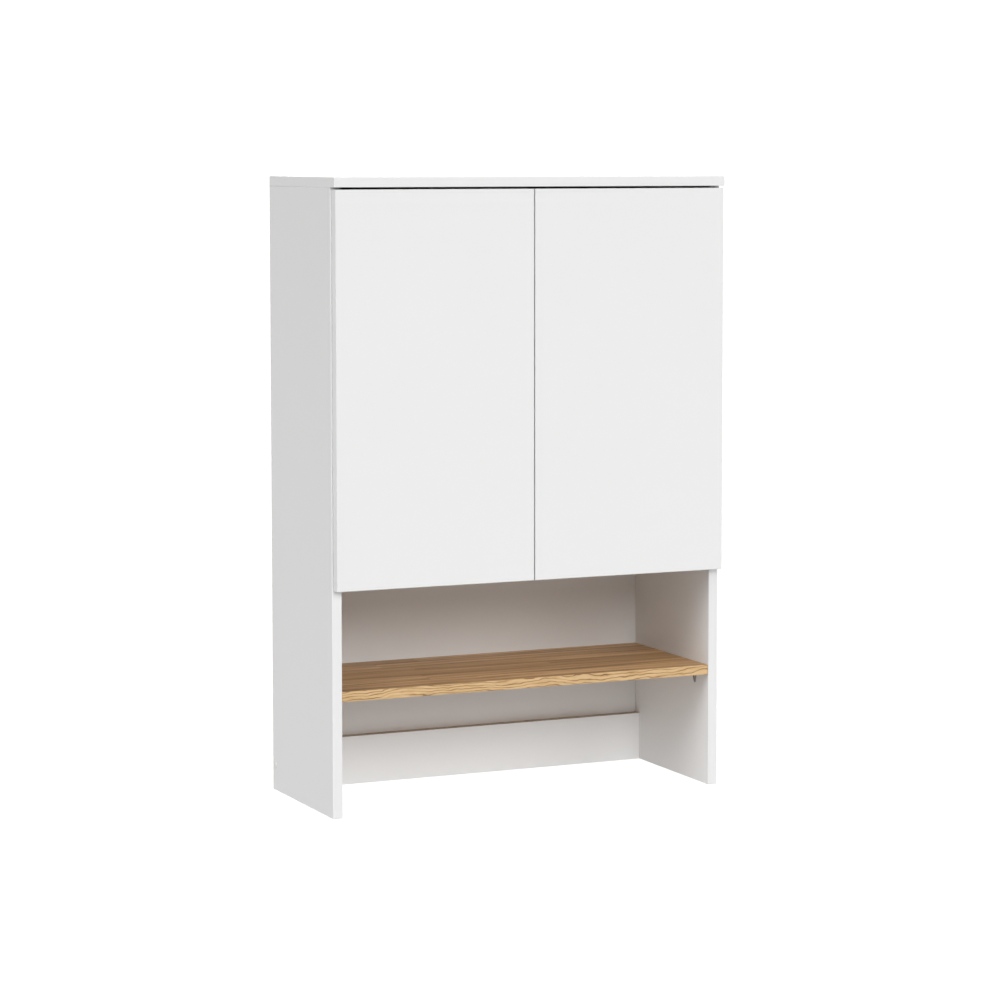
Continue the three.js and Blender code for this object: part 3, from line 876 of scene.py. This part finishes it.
# %% Lights
# name, degrees right of the front, degrees up, degrees wide, strength
LIGHTS = (
    ("front light", -8, 27, 30, 1.47),
    ("right light", 38, 22, 30, 0.60),
    ("left light", -74, 35, 35, 1.57),
    ("overhead light", 0, 90, 8, 1.45),
    ("back light", 160, 28, 45, 1.1),
)


def distant_light(name, turn, height, width, strength):
    data = bpy.data.lights.new(name, "SUN")
    data.energy = strength
    data.angle = math.radians(width)
    lamp = bpy.data.objects.new(name, data)
    bpy.context.collection.objects.link(lamp)
    side = math.radians(turn)
    up = math.radians(height)
    source = Vector((math.sin(side) * math.cos(up), -math.cos(side) * math.cos(up), math.sin(up)))
    lamp.rotation_euler = (-source).to_track_quat("-Z", "Y").to_euler()
    lamp.location = source * 3


for light in LIGHTS:
    distant_light(*light)
print(len(LIGHTS), "lights")

# %% [markdown]
# The floor is a pale sheet well below the cabinet, because the cabinet hangs on a wall. The lens sees it
# and the faint surround as plain white, while light that bounces meets a darker sheet, so that the floor
# does not flood the niche from below. The Standard view keeps a white board white.

# %% Floor and surround
FLOOR_DROP = 0.9
FLOOR_SIZE = 60
FLOOR_SHADE = (0.50, 0.50, 0.50)
FLOOR_ROUGHNESS = 0.9
SEEN_WHITE = 1.1
SURROUND = 0.06


def camera_ray(tree):
    return Sock(tree).node("ShaderNodeLightPath", {}, {}, "Is Camera Ray")


def surround():
    world = bpy.data.worlds.new("faint surround")
    bpy.context.scene.world = world
    world.use_nodes = True
    background = world.node_tree.nodes["Background"]
    strength = camera_ray(world.node_tree) * (SEEN_WHITE - SURROUND) + SURROUND
    feed(background.inputs["Color"], (1, 1, 1))
    feed(background.inputs["Strength"], strength)


def pale_floor():
    material, shader, place = new_finish("pale floor")
    tree = material.node_tree
    feed(shader.inputs["Base Color"], FLOOR_SHADE)
    feed(shader.inputs["Roughness"], FLOOR_ROUGHNESS)
    sheet = Sock(tree, shader.outputs[0])
    glow = place.node("ShaderNodeEmission", {}, {"Color": (1, 1, 1), "Strength": SEEN_WHITE})
    seen = place.node("ShaderNodeMixShader", {}, {"Fac": camera_ray(tree), 1: sheet, 2: glow})
    feed(tree.nodes["Material Output"].inputs["Surface"], seen)
    bpy.ops.mesh.primitive_plane_add(size=FLOOR_SIZE, location=(0, 0, model_box[0][2] - FLOOR_DROP))
    floor = bpy.context.object
    floor.name = "floor"
    floor.data.materials.append(material)


surround()
pale_floor()
bpy.context.scene.view_settings.view_transform = "Standard"
print("floor", FLOOR_DROP, "m below the cabinet")

# %% [markdown]
# The camera stands in front and to the left, a little above the middle of the cabinet, with a long lens
# so that the upright edges stay nearly parallel. Its place is given from the cabinet's left front corner,
# in metres, and a small shift of the frame sets the cabinet where it belongs in the picture.

# %% Camera
CAMERA_FROM_CORNER = Vector((-1.79827, -4.62759, 1.03805))
CAMERA_TURN = math.radians(24.8)
CAMERA_DOWN = math.radians(4.73)
SENSOR_WIDTH = 36
LENS = 115.38
SHIFT_X = -0.03
SHIFT_Y = -0.08
SEES_TO = 100

camera_data = bpy.data.cameras.new("camera")
camera_data.sensor_width = SENSOR_WIDTH
camera_data.lens = LENS
camera_data.shift_x = SHIFT_X
camera_data.shift_y = SHIFT_Y
camera_data.clip_end = SEES_TO
camera = bpy.data.objects.new("camera", camera_data)
bpy.context.collection.objects.link(camera)
camera.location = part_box("side_left")[0] + CAMERA_FROM_CORNER
camera.rotation_euler = (math.pi / 2 - CAMERA_DOWN, 0, -CAMERA_TURN)
bpy.context.scene.camera = camera
print("camera at", [round(value, 2) for value in camera.location])

# %% [markdown]
